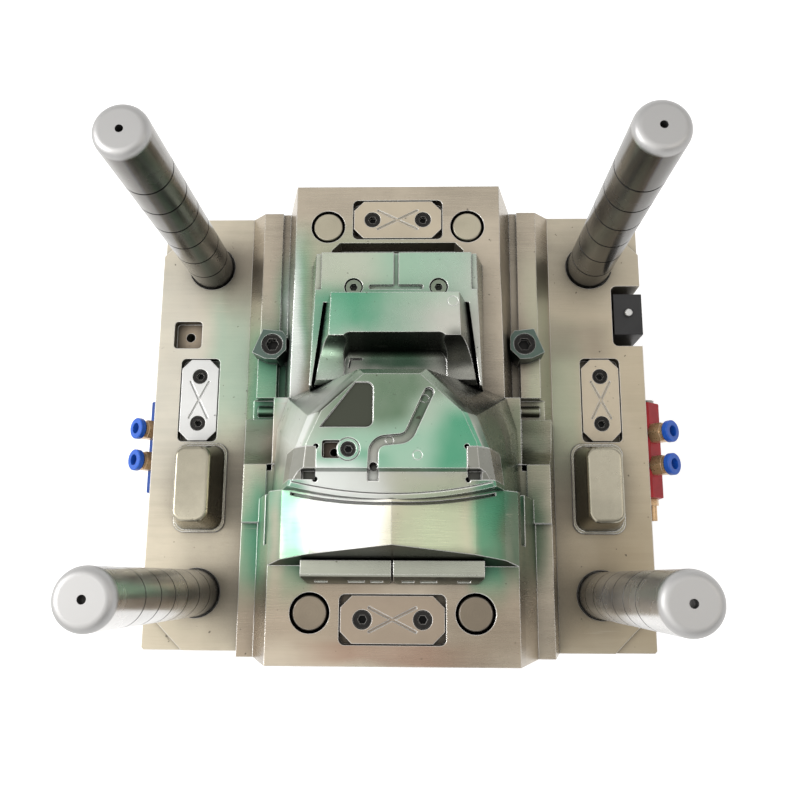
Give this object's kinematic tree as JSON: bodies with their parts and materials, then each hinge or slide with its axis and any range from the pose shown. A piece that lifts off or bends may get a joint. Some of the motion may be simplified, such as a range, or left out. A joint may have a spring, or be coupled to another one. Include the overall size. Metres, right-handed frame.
{
  "type": "injection mould",
  "caption": "Moving half of a plastic injection mould: core plate with guide pillars, faceted core with inserts, ejector set with lifters, wear plates, interlocks and water manifolds.",
  "frame": {"origin": "centre of the clamping face, on the underside of the clamp plate", "axes": "+Z from the clamp plate to the parting face and along the guide pillars; +X to the side with the cycle counter; +Y to the low end of the core"},
  "size_m": [0.5118, 0.4, 0.53],
  "materials": {
    "plate_steel": "ground and lightly aged steel",
    "core_steel": "milled steel with a film of green rust preventive",
    "ground_steel": "hardened and ground steel",
    "black_screw": "black oxide",
    "bronze": "turned bronze",
    "brass": "machined brass",
    "red_manifold": "red anodised",
    "blue_manifold": "blue anodised",
    "blue_plastic": "moulded plastic",
    "black_body": "black moulded body",
    "spring_steel": "painted flat-wire spring"
  },
  "bodies": {
    "mould_base": {"clamp_plate": "plate_steel", "spacer_block_left": "plate_steel", "spacer_block_right": "plate_steel", "core_plate": "plate_steel", "core_block": "core_steel", "main_core_insert": "core_steel", "upper_core_insert": "core_steel", "bridge_insert": "core_steel", "front_bar_left": "core_steel", "front_bar_right": "core_steel", "corner_clamp_left": "core_steel", "corner_clamp_right": "core_steel", "guide_pillar_1": "ground_steel", "guide_pillar_2": "ground_steel", "guide_pillar_3": "ground_steel", "guide_pillar_4": "ground_steel", "wear_plate_top": "ground_steel", "wear_plate_bottom": "ground_steel", "wear_plate_left": "ground_steel", "wear_plate_right": "ground_steel", "wear_plate_screws": "black_screw", "interlock_left": "ground_steel", "interlock_right": "ground_steel", "interlock_screws": "black_screw", "support_pillars": "ground_steel", "support_pillar_screws": "black_screw", "stop_buttons": "ground_steel", "clamp_plate_screws": "black_screw", "core_block_screws": "black_screw", "insert_foot_screws": "black_screw", "insert_top_screws": "black_screw", "corner_clamp_screws": "black_screw", "spacer_dowels": "ground_steel", "ejector_guide_pins": "ground_steel", "lifter_guides": "bronze", "return_springs": "spring_steel", "counter_body": "black_body", "counter_screws": "black_screw", "water_manifold_left": "blue_manifold", "water_manifold_right": "red_manifold", "water_manifold_screws": "black_screw", "hose_fittings_left": "brass", "hose_fittings_right": "brass", "manifold_plug": "ground_steel", "manifold_nipple": "brass"},
    "ejector": {"ejector_base_plate": "plate_steel", "ejector_retainer_plate": "plate_steel", "ejector_plate_screws": "black_screw", "ejector_guide_bushes": "bronze", "return_pins": "ground_steel", "ejector_pins": "ground_steel"},
    "lifter_left": {"lifter_left": "core_steel"},
    "lifter_right": {"lifter_right": "core_steel"},
    "counter_plunger": {"counter_plunger": "ground_steel"},
    "release_collar_left_1": {"release_collar_left_1": "blue_plastic"},
    "release_collar_left_2": {"release_collar_left_2": "blue_plastic"},
    "release_collar_right_1": {"release_collar_right_1": "blue_plastic"},
    "release_collar_right_2": {"release_collar_right_2": "blue_plastic"}
  },
  "joints": [
    {"name": "ejector_slide", "type": "slide", "parent": "mould_base", "child": "ejector", "axis": [0, 0, 1], "range_m": [0, 0.05], "stiffness_N_per_m": 40000, "springref_m": -0.01, "deforming": ["return_springs"]},
    {"name": "lifter_left_slide", "type": "slide", "parent": "ejector", "child": "lifter_left", "axis": [1, 0, 0], "range_m": [0, 0.0071]},
    {"name": "lifter_right_slide", "type": "slide", "parent": "ejector", "child": "lifter_right", "axis": [-1, 0, 0], "range_m": [0, 0.0071]},
    {"name": "counter_press", "type": "slide", "parent": "mould_base", "child": "counter_plunger", "axis": [0, 0, -1], "range_m": [0, 0.0035], "stiffness_N_per_m": 600, "springref_m": -0.002},
    {"name": "collar_left_1_press", "type": "slide", "parent": "mould_base", "child": "release_collar_left_1", "axis": [0.6428, 0, -0.766], "range_m": [0, 0.0015], "stiffness_N_per_m": 1500, "springref_m": -0.0005},
    {"name": "collar_left_2_press", "type": "slide", "parent": "mould_base", "child": "release_collar_left_2", "axis": [0.6428, 0, -0.766], "range_m": [0, 0.0015], "stiffness_N_per_m": 1500, "springref_m": -0.0005},
    {"name": "collar_right_1_press", "type": "slide", "parent": "mould_base", "child": "release_collar_right_1", "axis": [-0.6428, 0, -0.766], "range_m": [0, 0.0015], "stiffness_N_per_m": 1500, "springref_m": -0.0005},
    {"name": "collar_right_2_press", "type": "slide", "parent": "mould_base", "child": "release_collar_right_2", "axis": [-0.6428, 0, -0.766], "range_m": [0, 0.0015], "stiffness_N_per_m": 1500, "springref_m": -0.0005}
  ],
  "couplings": [
    {"joint": "lifter_left_slide", "follows": "ejector_slide", "ratio": 0.14},
    {"joint": "lifter_right_slide", "follows": "ejector_slide", "ratio": 0.14}
  ]
}
